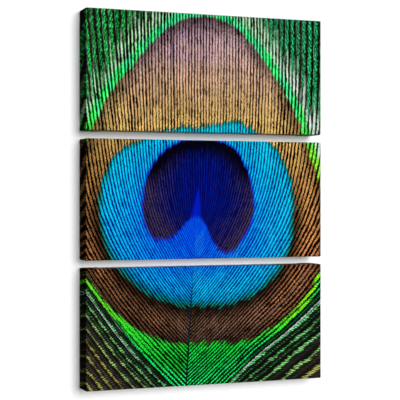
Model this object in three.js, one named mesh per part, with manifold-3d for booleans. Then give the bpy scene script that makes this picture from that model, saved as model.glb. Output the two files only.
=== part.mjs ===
// A picture on canvas in three wide panels, which hang one above another on a wall.
// Each panel is a mitred frame of four deep pine bars with one sheet of canvas wrapped round it,
// a sawtooth hanger nailed to the back of its top bar, and two bumpers at its lower corners.
//
// Millimetres. +Z is up, +X is to the right of someone who looks at the picture, the picture
// faces -Y, and the wall is the plane Y = 0. The origin is the middle panel's hanger, at the
// centre of the face that meets the wall.

import * as THREE from "three";
import { mergeVertices } from "three/addons/utils/BufferGeometryUtils.js";
import Module from "manifold-3d";

// ---- Driving dimensions ----

const PANEL_WIDTH = 406.4; // 16 in
const PANEL_HEIGHT = 190.5; // 7 1/2 in
const PANEL_DEPTH = 38.1; // 1 1/2 in, from the picture to the back of the hem
const PANEL_GAP = 12.7; // 1/2 in of wall between one panel and the next

const CANVAS_THICK = 0.6; // woven cloth, its primer and ink
const CANVAS_EDGE_RADIUS = 1.6; // where the cloth turns over the front edge of the bars
const HEM = 20; // cloth turned over onto the back of the bars
const FIT_GAP = 0.3; // between two pieces that touch

const BAR_WIDTH = 35; // across the back of a bar
const BAR_LIP = 7; // flat front edge that alone carries the cloth
const BAR_SLOPE = 3.5; // fall of the front from the lip to the bar's inner edge

const STAND_OFF = 3; // between the back of the hem and the wall
const HANGER_LENGTH = 45;
const HANGER_HEIGHT = 12;
const HANGER_THICK = 0.8;
const HANGER_BAND_HALF = 12; // half the length of the raised middle band
const HANGER_RAMP = 2.5; // run of the step from the band down to a foot
const TOOTH_PITCH = 2.6;
const TOOTH_DEPTH = 2;
const TEETH_NOTCHES = 8;

const NAIL_OFFSET = 18.6; // from the hanger's middle to each of its nails
const NAIL_SHANK_RADIUS = 0.7;
const NAIL_HEAD_RADIUS = 2.1;
const NAIL_HEAD_HEIGHT = 0.9;
const NAIL_LENGTH = 12;
const NAIL_TIP = 2;
const NAIL_HOLE_RADIUS = 1;

const BUMPER_RADIUS = 5;
const BUMPER_FACE_RADIUS = 4;
const BUMPER_INSET = 12; // from the panel's outer edges to the bumper's middle

const CURVE_STEPS = 6; // straight pieces in each rounded edge
const ROUND_SIDES = 32; // sides of each turned piece

// ---- Sizes worked out from those ----

const BACK_Y = -STAND_OFF;
const FRONT_Y = BACK_Y - PANEL_DEPTH;
const BAR_CLEAR = CANVAS_THICK + FIT_GAP; // from the outside of the cloth to the wood
const BAR_BACK_Y = BACK_Y - BAR_CLEAR;
const BAR_DEPTH = PANEL_DEPTH - 2 * BAR_CLEAR;
const FOOT_Y = BAR_BACK_Y + FIT_GAP; // where the hanger's feet sit on the top bar
const HANGER_Z = PANEL_HEIGHT / 2 - (HEM + BAR_CLEAR + BAR_WIDTH) / 2;
const PANEL_STEP = PANEL_HEIGHT + PANEL_GAP;

const wasm = await Module();
wasm.setup();

// ---- Solids ----

// The closed solid that a three.js geometry bounds.
function solidOf(geometry) {
  geometry.deleteAttribute("normal");
  geometry.deleteAttribute("uv");
  const merged = mergeVertices(geometry, 1e-4);
  return new wasm.Manifold(
    new wasm.Mesh({
      numProp: 3,
      vertProperties: merged.attributes.position.array,
      triVerts: new Uint32Array(merged.index.array),
    }),
  );
}

// A three.js geometry from a solid.
function geometryOf(solid) {
  const { vertProperties, triVerts } = solid.getMesh();
  const geometry = new THREE.BufferGeometry();
  geometry.setAttribute("position", new THREE.BufferAttribute(vertProperties, 3));
  geometry.setIndex(new THREE.BufferAttribute(triVerts, 1));
  geometry.computeVertexNormals();
  return geometry;
}

// A flat outline drawn in X and Y, extruded evenly both ways from its own plane.
function extruded(shape, length) {
  const geometry = new THREE.ExtrudeGeometry(shape, {
    depth: length,
    bevelEnabled: false,
    curveSegments: CURVE_STEPS,
  });
  return geometry.translate(0, 0, -length / 2);
}

// The outline of points given as [x, y] pairs.
function outline(points) {
  return new THREE.Shape(points.map(([x, y]) => new THREE.Vector2(x, y)));
}

function box(width, depth, height, y) {
  return solidOf(new THREE.BoxGeometry(width, depth, height).translate(0, y, 0));
}

// A rod along Y, from one Y to another.
function rod(radius, fromY, toY, x, z) {
  const geometry = new THREE.CylinderGeometry(radius, radius, toY - fromY, ROUND_SIDES);
  return solidOf(geometry.translate(x, (fromY + toY) / 2, z));
}

// ---- Canvas ----

// A panel's outline seen along one of its edges: square at the back, rounded at the front.
function wrapOutline(width, inset) {
  const half = width / 2 - inset;
  const back = BACK_Y - inset;
  const front = FRONT_Y + inset;
  const radius = CANVAS_EDGE_RADIUS - inset;
  const shape = new THREE.Shape();
  shape.moveTo(half, back);
  shape.lineTo(-half, back);
  shape.lineTo(-half, front + radius);
  shape.absarc(-half + radius, front + radius, radius, Math.PI, 1.5 * Math.PI, false);
  shape.lineTo(half - radius, front);
  shape.absarc(half - radius, front + radius, radius, 1.5 * Math.PI, 2 * Math.PI, false);
  shape.lineTo(half, back);
  return shape;
}

// The block that a wrapped panel fills, drawn in by an inset on every side.
function wrapBlock(inset) {
  const plan = extruded(wrapOutline(PANEL_WIDTH, inset), PANEL_HEIGHT - 2 * inset);
  const side = extruded(wrapOutline(PANEL_HEIGHT, inset), PANEL_WIDTH - 2 * inset);
  return solidOf(plan).intersect(solidOf(side.rotateY(Math.PI / 2)));
}

// One sheet over the front, round the four sides and over the back as a hem.
function canvasGeometry() {
  const backOpening = box(
    PANEL_WIDTH - 2 * HEM,
    4 * CANVAS_THICK,
    PANEL_HEIGHT - 2 * HEM,
    BACK_Y,
  );
  return geometryOf(wrapBlock(0).subtract(wrapBlock(CANVAS_THICK)).subtract(backOpening));
}

// ---- Stretcher bars ----

// The bar along the lower edge of a frame whose outer edge is this far below its centre.
// A top bar also has the two holes that the hanger's nails are driven into.
function barGeometry(length, distance, hasNailHoles) {
  const back = BAR_BACK_Y;
  const front = BAR_BACK_Y - BAR_DEPTH;
  const edge = CANVAS_EDGE_RADIUS - BAR_CLEAR;
  const section = new THREE.Shape();
  section.moveTo(distance, back);
  section.lineTo(distance - BAR_WIDTH, back);
  section.lineTo(distance - BAR_WIDTH, front + BAR_SLOPE);
  section.lineTo(distance - BAR_LIP, front);
  section.lineTo(distance - edge, front);
  section.absarc(distance - edge, front + edge, edge, -Math.PI / 2, 0, false);
  section.lineTo(distance, back);
  const rail = solidOf(extruded(section, length).rotateY(Math.PI / 2));

  const outer = length / 2 - (FIT_GAP * Math.SQRT2) / 2;
  const inner = outer - BAR_WIDTH;
  const mitres = outline([
    [-outer, distance],
    [-inner, distance - BAR_WIDTH],
    [inner, distance - BAR_WIDTH],
    [outer, distance],
  ]);
  const wedge = extruded(mitres, 3 * PANEL_DEPTH).rotateX(-Math.PI / 2);
  let bar = rail.intersect(solidOf(wedge));
  if (hasNailHoles) {
    for (const x of [-NAIL_OFFSET, NAIL_OFFSET]) {
      const bottom = FOOT_Y - NAIL_LENGTH - FIT_GAP;
      bar = bar.subtract(rod(NAIL_HOLE_RADIUS, bottom, back + 1, x, -HANGER_Z));
    }
  }
  return geometryOf(bar);
}

// ---- Hanger, nails and bumpers ----

// A steel strip: two flat feet, and a raised middle band with teeth along its lower edge.
function hangerGeometry() {
  const half = HANGER_LENGTH / 2;
  const step = HANGER_BAND_HALF + HANGER_RAMP;
  const lean = HANGER_THICK * 0.7; // keeps the ramps as thick as the strip
  const strip = outline([
    [-half, FOOT_Y],
    [-step + lean, FOOT_Y],
    [-HANGER_BAND_HALF + lean, -HANGER_THICK],
    [HANGER_BAND_HALF - lean, -HANGER_THICK],
    [step - lean, FOOT_Y],
    [half, FOOT_Y],
    [half, FOOT_Y + HANGER_THICK],
    [step, FOOT_Y + HANGER_THICK],
    [HANGER_BAND_HALF, 0],
    [-HANGER_BAND_HALF, 0],
    [-step, FOOT_Y + HANGER_THICK],
    [-half, FOOT_Y + HANGER_THICK],
  ]);
  let hanger = solidOf(extruded(strip, HANGER_HEIGHT));
  for (const x of [-NAIL_OFFSET, NAIL_OFFSET]) {
    hanger = hanger.subtract(rod(NAIL_HOLE_RADIUS, FOOT_Y - 1, FOOT_Y + 2, x, 0));
  }
  const notch = outline([
    [-TOOTH_PITCH / 2, HANGER_HEIGHT / 2],
    [0, HANGER_HEIGHT / 2 - TOOTH_DEPTH],
    [TOOTH_PITCH / 2, HANGER_HEIGHT / 2],
    [0, HANGER_HEIGHT / 2 + TOOTH_DEPTH],
  ]);
  for (let i = 0; i < TEETH_NOTCHES; i += 1) {
    const x = (i - (TEETH_NOTCHES - 1) / 2) * TOOTH_PITCH;
    const cut = extruded(notch, 3 * STAND_OFF).rotateX(-Math.PI / 2).translate(x, 0, 0);
    hanger = hanger.subtract(solidOf(cut));
  }
  return geometryOf(hanger);
}

// A turned piece from its profile of [radius, y] pairs, both ends on the axis.
function turned(profile) {
  return new THREE.LatheGeometry(
    profile.map(([radius, y]) => new THREE.Vector2(radius, y)),
    ROUND_SIDES,
  );
}

function nailGeometry() {
  const under = FOOT_Y + HANGER_THICK + FIT_GAP;
  const tip = FOOT_Y - NAIL_LENGTH;
  return turned([
    [0, tip],
    [NAIL_SHANK_RADIUS, tip + NAIL_TIP],
    [NAIL_SHANK_RADIUS, under],
    [NAIL_HEAD_RADIUS, under],
    [NAIL_HEAD_RADIUS, under + NAIL_HEAD_HEIGHT * 0.4],
    [NAIL_HEAD_RADIUS * 0.75, under + NAIL_HEAD_HEIGHT * 0.85],
    [0, under + NAIL_HEAD_HEIGHT],
  ]);
}

function bumperGeometry() {
  const base = BACK_Y + FIT_GAP;
  const shoulder = BUMPER_RADIUS - BUMPER_FACE_RADIUS;
  return turned([
    [0, base],
    [BUMPER_RADIUS, base],
    [BUMPER_RADIUS, -shoulder],
    [BUMPER_RADIUS - shoulder * 0.3, -shoulder * 0.3],
    [BUMPER_FACE_RADIUS, 0],
    [0, 0],
  ]);
}

// ---- Materials ----

const FINISHES = {
  canvas: { color: 0x1c7f8c, roughness: 0.62, metalness: 0 },
  pine: { color: 0xd9b583, roughness: 0.7, metalness: 0 },
  hangerSteel: { color: 0xc3bfb4, roughness: 0.32, metalness: 1 },
  nailSteel: { color: 0xb4b4b2, roughness: 0.38, metalness: 1 },
  bumperRubber: { color: 0x26262a, roughness: 0.8, metalness: 0 },
};

function piece(name, geometry, finish) {
  const mesh = new THREE.Mesh(geometry, new THREE.MeshStandardMaterial(FINISHES[finish]));
  mesh.name = name;
  return mesh;
}

// ---- Assembly ----

const FRAME_HALF_WIDTH = PANEL_WIDTH / 2 - BAR_CLEAR;
const FRAME_HALF_HEIGHT = PANEL_HEIGHT / 2 - BAR_CLEAR;

// Each bar is the lower bar turned about the panel's centre.
const BARS = [
  { side: "bottom", turn: 0, length: 2 * FRAME_HALF_WIDTH, distance: FRAME_HALF_HEIGHT },
  { side: "top", turn: Math.PI, length: 2 * FRAME_HALF_WIDTH, distance: FRAME_HALF_HEIGHT },
  { side: "left", turn: Math.PI / 2, length: 2 * FRAME_HALF_HEIGHT, distance: FRAME_HALF_WIDTH },
  { side: "right", turn: -Math.PI / 2, length: 2 * FRAME_HALF_HEIGHT, distance: FRAME_HALF_WIDTH },
];

const SIDES = { left: -1, right: 1 };

// One panel, with its own centre at X = 0 and Z = 0 and the wall at Y = 0.
function panel(name) {
  const group = new THREE.Group();
  group.add(piece(`${name}_canvas`, canvasGeometry(), "canvas"));
  for (const { side, turn, length, distance } of BARS) {
    const bar = piece(
      `${name}_bar_${side}`,
      barGeometry(length, distance, side === "top"),
      "pine",
    );
    bar.rotation.y = turn;
    group.add(bar);
  }
  const hanger = piece(`${name}_hanger`, hangerGeometry(), "hangerSteel");
  hanger.position.z = HANGER_Z;
  group.add(hanger);
  for (const [side, sign] of Object.entries(SIDES)) {
    const nail = piece(`${name}_nail_${side}`, nailGeometry(), "nailSteel");
    nail.position.set(sign * NAIL_OFFSET, 0, HANGER_Z);
    group.add(nail);
    const bumper = piece(`${name}_bumper_${side}`, bumperGeometry(), "bumperRubber");
    bumper.position.x = sign * (PANEL_WIDTH / 2 - BUMPER_INSET);
    bumper.position.z = BUMPER_INSET - PANEL_HEIGHT / 2;
    group.add(bumper);
  }
  return group;
}

const picture = new THREE.Group();
["lower", "middle", "upper"].forEach((name, i) => {
  const hung = panel(name);
  hung.position.z = (i - 1) * PANEL_STEP - HANGER_Z;
  picture.add(hung);
});

export default picture;
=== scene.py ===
"""A picture on canvas in three panels: printed cloth wrapped round pine bars, hung on a wall."""

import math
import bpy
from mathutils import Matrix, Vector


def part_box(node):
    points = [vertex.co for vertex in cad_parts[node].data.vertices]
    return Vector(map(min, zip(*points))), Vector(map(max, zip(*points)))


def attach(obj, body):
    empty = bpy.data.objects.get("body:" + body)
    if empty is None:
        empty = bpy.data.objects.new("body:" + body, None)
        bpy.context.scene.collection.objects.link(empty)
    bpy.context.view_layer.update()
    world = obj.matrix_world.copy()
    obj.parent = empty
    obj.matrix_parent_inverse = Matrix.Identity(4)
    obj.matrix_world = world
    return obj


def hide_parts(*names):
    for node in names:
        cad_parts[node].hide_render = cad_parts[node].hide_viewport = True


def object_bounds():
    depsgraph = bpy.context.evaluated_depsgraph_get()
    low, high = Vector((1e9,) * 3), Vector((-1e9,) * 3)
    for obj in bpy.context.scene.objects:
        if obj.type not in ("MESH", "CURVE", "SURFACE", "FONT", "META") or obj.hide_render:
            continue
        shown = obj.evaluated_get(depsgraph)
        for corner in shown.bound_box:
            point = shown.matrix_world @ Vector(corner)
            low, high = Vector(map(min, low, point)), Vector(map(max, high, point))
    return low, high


bl_info = {
    "name": "Three-panel canvas print",
    "version": (1, 0, 0),
    "blender": (4, 5, 0),
    "location": "3D View > Sidebar > Canvas print",
    "description": "Makes the printed canvases, their pine bars and their fittings",
    "category": "Add Mesh",
}

import bpy
import numpy as np
from bpy.props import FloatProperty, FloatVectorProperty, PointerProperty
from mathutils import Vector

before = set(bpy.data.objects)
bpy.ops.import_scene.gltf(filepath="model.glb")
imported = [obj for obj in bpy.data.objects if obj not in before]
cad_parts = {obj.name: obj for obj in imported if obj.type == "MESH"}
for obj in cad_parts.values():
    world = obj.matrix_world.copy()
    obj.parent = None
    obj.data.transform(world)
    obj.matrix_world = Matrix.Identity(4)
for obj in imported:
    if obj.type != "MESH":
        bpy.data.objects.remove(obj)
CAD_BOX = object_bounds()

MM = 0.001
PANELS = ("lower", "middle", "upper")
CANVAS_BOXES = [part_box(f"{name}_canvas") for name in PANELS]
PICTURE_LOW = (CANVAS_BOXES[0][0][0], CANVAS_BOXES[0][0][2])  # lower left corner, metres
PICTURE_WIDTH = (CANVAS_BOXES[0][1][0] - CANVAS_BOXES[0][0][0]) / MM
PICTURE_HEIGHT = (CANVAS_BOXES[2][1][2] - CANVAS_BOXES[0][0][2]) / MM


# ---- Sizes and colours that a user would change ----


def length(name, description, default):
    """A property that holds a length in metres."""
    return FloatProperty(name=name, description=description, default=default, unit="LENGTH")


class ClothSettings(bpy.types.PropertyGroup):
    thickness: length("Thickness", "Woven cloth with its primer and ink", 0.55 * MM)
    edge_radius: length("Edge radius", "Turn of the cloth over the bars' edges", 1.6 * MM)
    hem: length("Hem", "Cloth turned over onto the back of the bars", 20 * MM)
    print_turnover: length("Print on the hem", "How far the print runs onto the back", 6 * MM)
    pleat: length("Pleat", "How far the folded corners stand out", 0.6 * MM)
    edge_stretch: FloatProperty(
        name="Edge stretch",
        description="Share of the sides' depth that the print has",
        default=0.12,
    )
    mesh_step: length("Mesh step", "Distance between the points of the cloth's mesh", 2.4 * MM)
    threads: length("Thread pitch", "Distance from one thread of the weave to the next", 0.6 * MM)


class StapleSettings(bpy.types.PropertyGroup):
    crown: length("Crown", "Length of a staple's crown", 10 * MM)
    leg: length("Leg", "How deep its legs go", 6 * MM)
    wire: length("Wire", "Width of its flat wire", 0.9 * MM)
    inset: length("Inset", "From the panel's edge to the row of staples", 12.5 * MM)
    pitch: length("Pitch", "About how far apart the staples are", 42 * MM)
    stray: FloatProperty(
        name="Stray", description="Most that a staple is turned", default=0.12, subtype="ANGLE"
    )


class WoodSettings(bpy.types.PropertyGroup):
    pale: FloatVectorProperty(
        name="Pale wood",
        description="Colour of the early wood",
        default=(0.80, 0.62, 0.38),
        subtype="COLOR",
    )
    dark: FloatVectorProperty(
        name="Dark wood",
        description="Colour of the late wood",
        default=(0.60, 0.38, 0.17),
        subtype="COLOR",
    )


class StageSettings(bpy.types.PropertyGroup):
    key_strength: FloatProperty(name="Key", description="Strength of the front light", default=3.5)
    key_softness: FloatProperty(name="Softness", description="Its width in degrees", default=30.0)
    key_side: FloatProperty(name="Side", description="Degrees it stands to the right", default=7.5)
    key_rise: FloatProperty(name="Rise", description="Degrees it stands above", default=12.0)
    back_strength: FloatProperty(name="Back", description="Strength of the rear light", default=1.2)
    sky: FloatProperty(name="Sky", description="Strength of the white all round", default=0.11)


class PrintSettings(bpy.types.PropertyGroup):
    cloth: PointerProperty(type=ClothSettings)
    staples: PointerProperty(type=StapleSettings)
    wood: PointerProperty(type=WoodSettings)
    stage: PointerProperty(type=StageSettings)


# ---- Node writing ----


class Wire:
    """A number, vector or colour on its way through the nodes of one material."""

    def __init__(self, socket):
        self.socket = socket
        self.tree = socket.id_data

    def join(self, operation, *others):
        """The result of one Math node on this wire and up to two more values."""
        node = self.tree.nodes.new("ShaderNodeMath")
        node.operation = operation
        for socket, value in zip(node.inputs, (self, *others)):
            feed(socket, value)
        return Wire(node.outputs[0])

    def __add__(self, other):
        return self.join("ADD", other)

    def __radd__(self, other):
        return self.join("ADD", other)

    def __sub__(self, other):
        return self.join("SUBTRACT", other)

    def __rsub__(self, other):
        return (self * -1.0).join("ADD", other)

    def __mul__(self, other):
        return self.join("MULTIPLY", other)

    def __rmul__(self, other):
        return self.join("MULTIPLY", other)

    def __truediv__(self, other):
        return self.join("DIVIDE", other)

    def __neg__(self):
        return self * -1.0

    def __abs__(self):
        return self.join("ABSOLUTE")

    def floor(self):
        return self.join("FLOOR")

    def fract(self):
        return self.join("FRACT")

    def sine(self):
        return self.join("SINE")

    def least(self, other):
        return self.join("MINIMUM", other)

    def most(self, other):
        return self.join("MAXIMUM", other)

    def over(self, other):
        return self.join("GREATER_THAN", other)

    def step(self, low, high):
        """0 below low, 1 above high, and a smooth rise between, or the other way round."""
        node = self.tree.nodes.new("ShaderNodeMapRange")
        node.interpolation_type = "SMOOTHSTEP"
        feed(node.inputs["Value"], self)
        feed(node.inputs["From Min"], low)
        feed(node.inputs["From Max"], high)
        return Wire(node.outputs[0])


def feed(socket, value):
    """Links a wire to a socket, or sets the socket to a plain value."""
    if isinstance(value, Wire):
        socket.id_data.links.new(value.socket, socket)
    elif value is not None:
        socket.default_value = value


def ink(red, green, blue):
    """A colour from screen values of 0 to 255, as the linear values that a shader takes."""
    screen = np.array([red, green, blue]) / 255.0
    linear = np.where(screen <= 0.04045, screen / 12.92, ((screen + 0.055) / 1.055) ** 2.4)
    return (*(float(v) for v in linear), 1.0)


def mixed(tree, first, second, share):
    """The first colour where share is 0, and the second where it is 1."""
    node = tree.nodes.new("ShaderNodeMix")
    node.data_type = "RGBA"
    feed(node.inputs[0], share)
    feed(node.inputs[6], first)
    feed(node.inputs[7], second)
    return Wire(node.outputs[2])


def between(tree, first, second, share):
    """As mixed, for numbers."""
    node = tree.nodes.new("ShaderNodeMix")
    feed(node.inputs[0], share)
    feed(node.inputs[2], first)
    feed(node.inputs[3], second)
    return Wire(node.outputs[0])


def shades(tree, place, stops):
    """The colour at a place along a row of (place, colour) stops."""
    low, high = stops[0][0], stops[-1][0]
    node = tree.nodes.new("ShaderNodeValToRGB")
    ramp = node.color_ramp
    for at, tone in stops[1:-1]:
        ramp.elements.new((at - low) / (high - low)).color = tone
    ramp.elements[0].color = stops[0][1]
    ramp.elements[-1].color = stops[-1][1]
    feed(node.inputs[0], (place - low) / (high - low))
    return Wire(node.outputs[0])


def vector(tree, x, y, z=0.0):
    """Three numbers as one vector."""
    node = tree.nodes.new("ShaderNodeCombineXYZ")
    for socket, value in zip(node.inputs, (x, y, z)):
        feed(socket, value)
    return Wire(node.outputs[0])


def parts(tree, wire):
    """A vector's three numbers."""
    node = tree.nodes.new("ShaderNodeSeparateXYZ")
    feed(node.inputs[0], wire)
    return [Wire(output) for output in node.outputs]


def noise(tree, place, scale, detail=2.0, roughness=0.5):
    """Soft random values around 0.5."""
    node = tree.nodes.new("ShaderNodeTexNoise")
    feed(node.inputs["Vector"], place)
    node.inputs["Scale"].default_value = scale
    node.inputs["Detail"].default_value = detail
    node.inputs["Roughness"].default_value = roughness
    return Wire(node.outputs[0])


def chances(tree, number):
    """Three random values from 0 to 1 for a whole number."""
    node = tree.nodes.new("ShaderNodeTexWhiteNoise")
    node.noise_dimensions = "1D"
    feed(node.inputs["W"], number)
    return parts(tree, Wire(node.outputs["Color"]))


def map_of(tree, name):
    """The two values of a UV map."""
    node = tree.nodes.new("ShaderNodeUVMap")
    node.uv_map = name
    return parts(tree, Wire(node.outputs[0]))[:2]


def blank_material(name):
    """A new material, its node tree and its one surface shader."""
    made = bpy.data.materials.new(name)
    made.use_nodes = True
    shader = made.node_tree.nodes["Principled BSDF"]
    return made, made.node_tree, shader


# ---- The feather: where its barbs run and where its rings lie, in millimetres ----

SHAFT_FOOT = 165.7  # x of the shaft at the picture's lower edge
SHAFT_SLOPE = 0.065
SHAFT_TIP = 250.0  # height where the shaft ends and its last barbs fan out
LEANS = ((46.0, 255.0, 70.0), (52.0, 260.0, 80.0))  # left and right: degrees, middle, fall
MEAN_LEAN = (49.0, 257.0, 75.0)  # both sides' together
FLARE = 0.16  # what the slope gains at the upper left
FLARE_ASIDE = (70, 160)  # from where it sets in to where it is whole, away from the shaft
FLARE_HEIGHTS = (350, 450)
SPLAY = (-0.2, 0.3)  # what it gains in the lower corners, left and right
SPLAY_ASIDE = (80, 140)
SPLAY_HEIGHTS = (170, 80)
FAN_AT_SHAFT = 1.5  # how far from the shaft a barb has turned from upright to its lean
FAN = 1.0  # and how much further for each step above the shaft's tip
FANNED_ABOVE = 290.0  # from this height up both sides' barbs are one row
BARB_PITCH = 5.0  # at the shaft
BARB_SPREAD = (1.2, 2.0)  # what the pitch has gained at the spread's reach, left and right
SPREAD_REACH = 190.0
BARB_HEIGHT = 458.0  # where the pitches are set out
LOOSE_BARBS = (-50.0, 52.0)  # past these numbers the barbs stand apart
LOOSE_PITCH = (1.7, 2.4)  # how much further apart, left and right
MOST_BARBS = 75

# Each ring is a centre and its reach every 30 degrees, anticlockwise from the right.
BRONZE_RING = ((200, 270), (219, 213, 256, 324, 266, 231, 234, 216, 211, 205, 219, 224))
DISC_RING = ((190, 271), (167, 174, 171, 147, 154, 174, 169, 160, 150, 144, 157, 169))
HEART_RING = ((188, 300), (95, 96, 100, 95, 96, 95, 95, 100, 98, 102, 102, 101))
NOTCH_APEX = (183.0, 272.0)
NOTCH_REACH = 30.0  # half its width
NOTCH_BLUNTNESS = 2.3  # 1 is a sharp peak and 2 a bell
NOTCH_TILT = 0.75  # distance square to its edge, for each step up from it
LOBES = (233.0, 208.0)  # height of the heart's left and right lobe
STREAK_TOP = 322.0
STREAK_LEAN = 0.1
STREAK_WIDTH = 11.0  # half its width at the notch


def shaft_x(z):
    """Where the shaft is at each height."""
    return SHAFT_FOOT + SHAFT_SLOPE * z


def risen(value, start, end):
    """0 at start, 1 at end, straight between them and level beyond."""
    return np.clip((value - start) / (end - start), 0, 1)


def barb_lean(z, most, middle, fall):
    """The angle between a barb and the upright at each height."""
    return np.radians(most / (1 + np.exp((z - middle) / fall)))


def barb_slope(x, z):
    """How far a barb moves to the right for each step up."""
    from_shaft = x - shaft_x(z)
    fan = FAN_AT_SHAFT + FAN * np.maximum(z - SHAFT_TIP, 0.0)
    slopes = [np.tan(barb_lean(z, *lean)) for lean in LEANS]
    flare = risen(-from_shaft, *FLARE_ASIDE) * risen(z, *FLARE_HEIGHTS) * FLARE
    splay = risen(abs(from_shaft), *SPLAY_ASIDE) * risen(z, *SPLAY_HEIGHTS)
    splay = splay * np.where(from_shaft < 0, *SPLAY)
    return (np.where(from_shaft < 0, *slopes) + flare + splay) * np.tanh(from_shaft / fan)


def barb_paths(rows):
    """The barbs' numbers, and x of every barb at each row, traced both ways from one height."""
    start = shaft_x(BARB_HEIGHT)
    starts = {0: start}
    for way, spread in zip((-1, 1), BARB_SPREAD):
        x = start
        for number in range(1, MOST_BARBS):
            x += way * (BARB_PITCH + spread * ((x - start) / SPREAD_REACH) ** 2)
            starts[way * number] = x
    numbers = np.array(sorted(starts))
    paths = np.zeros((len(rows), len(numbers)))
    middle = int(np.argmin(abs(rows - BARB_HEIGHT)))
    for way in (-1, 1):
        row = middle
        x = np.array([starts[n] for n in numbers])
        paths[row] = x
        while 0 <= row + way < len(rows):
            z = rows[row]
            rise = rows[row + way] - z
            # A step goes by the slope at its own middle.
            half = x + barb_slope(x, z) * rise / 2
            x = x + barb_slope(half, z + rise / 2) * rise
            row += way
            paths[row] = x
    return numbers, paths


def barb_tables(rows, columns):
    """The barbs' running number over a grid, as the left side has it and as the right has it."""
    numbers, paths = barb_paths(rows)
    tables = []
    for way in (-1, 1):
        table = np.zeros((len(rows), len(columns)))
        for r, z in enumerate(rows):
            away = way * (paths[r] - shaft_x(z))
            own = (away > 2 * FAN_AT_SHAFT) | (z > FANNED_ABOVE)
            x, n = paths[r][own], numbers[own]
            table[r] = np.interp(columns, x, n)
            # Past its last barb a side goes on at the pitch it had there.
            a, b = (0, 1) if way > 0 else (-1, -2)
            pitch = (n[b] - n[a]) / (x[b] - x[a])
            past = way * (columns - x[a]) < 0
            table[r, past] = n[a] + (columns[past] - x[a]) * pitch
        tables.append(table)
    low, high = LOOSE_BARBS
    left, right = LOOSE_PITCH
    tables[0] = np.where(tables[0] < low, low + (tables[0] - low) / left, tables[0])
    tables[1] = np.where(tables[1] > high, high + (tables[1] - high) / right, tables[1])
    return tables


def looked_up(table, rows, columns, x, z):
    """A table's value at each point, by straight lines between its rows and columns."""
    short = 1.001  # keeps every point before the last row and column
    r = np.clip((z - rows[0]) / (rows[1] - rows[0]), 0, len(rows) - short)
    c = np.clip((x - columns[0]) / (columns[1] - columns[0]), 0, len(columns) - short)
    i, j = r.astype(int), c.astype(int)
    u, v = r - i, c - j
    low = table[i, j] * (1 - v) + table[i, j + 1] * v
    high = table[i + 1, j] * (1 - v) + table[i + 1, j + 1] * v
    return low * (1 - u) + high * u


def ring_depth(x, z, centre, reaches):
    """How far inside a ring each point is; negative outside."""
    dx, dz = x - centre[0], z - centre[1]
    turn = (np.degrees(np.arctan2(dz, dx)) % 360) / 360 * len(reaches)
    i = turn.astype(int)
    t = turn - i
    r = np.array(reaches, float)
    # The edge is a smooth curve through all the reaches, from the four nearest ones.
    before, here, after, beyond = (r[(i + k) % len(r)] for k in (-1, 0, 1, 2))
    bend = 2 * before - 5 * here + 4 * after - beyond
    curve = 3 * here - before - 3 * after + beyond
    edge = here + 0.5 * t * (after - before + t * (bend + t * curve))
    return edge - np.hypot(dx, dz)


def heart_depth(x, z):
    """How far inside the dark heart each point is: a round with a notch from below."""
    dx = x - NOTCH_APEX[0]
    lobe = np.where(dx < 0, *LOBES)
    peak = np.exp(-np.abs(dx / NOTCH_REACH) ** NOTCH_BLUNTNESS)
    notch = lobe + (NOTCH_APEX[1] - lobe) * peak
    return np.minimum(ring_depth(x, z, *HEART_RING), (z - notch) * NOTCH_TILT)


def streak_depth(x, z):
    """The narrow blue flame over the notch: 1 along its middle, 0 at its edges."""
    line = NOTCH_APEX[0] + STREAK_LEAN * (z - NOTCH_APEX[1])
    to_top = (STREAK_TOP - z) / (STREAK_TOP - NOTCH_APEX[1])
    width = STREAK_WIDTH * np.clip(to_top, 0.05, 1.6)
    return 1 - abs(x - line) / width


def run_along(z):
    """Distance along a barb at each height."""
    rows = np.arange(0, PICTURE_HEIGHT + 2.0)
    lean = barb_lean(rows, *MEAN_LEAN)
    total = np.concatenate([[0], np.cumsum(1 / np.cos(lean[:-1]))])
    return np.interp(z, rows, total)


# ---- The print's inks ----

RIGHT_NUMBERS = 300.0  # keeps the numbers of the right side's barbs apart from the left's
BARBULE_SLANT = 7.0  # how far the barbules' pattern moves along for each barb across
BEAD_PITCH = 4.3  # along a barb
WIDE_BARBS = 1.6  # how much wider the outermost barbs above the eye are
WIDE_SLANT = 14.0  # and their own slant and pitch
WIDE_BEAD_PITCH = 9.0
BRONZE_MIDDLE = 215.0  # x of the ring's middle
RIFT_FOOT = 167.0  # x of the line of a rift in the crown, carried down to the lower edge
RIFT_LEAN = 0.045  # to the left for each step up
DISC_MIDDLE = (183.0, 245.0)  # where the disc is bluest
HEART_MIDDLE = (194.0, 316.0)  # where the heart is bluest


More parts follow.
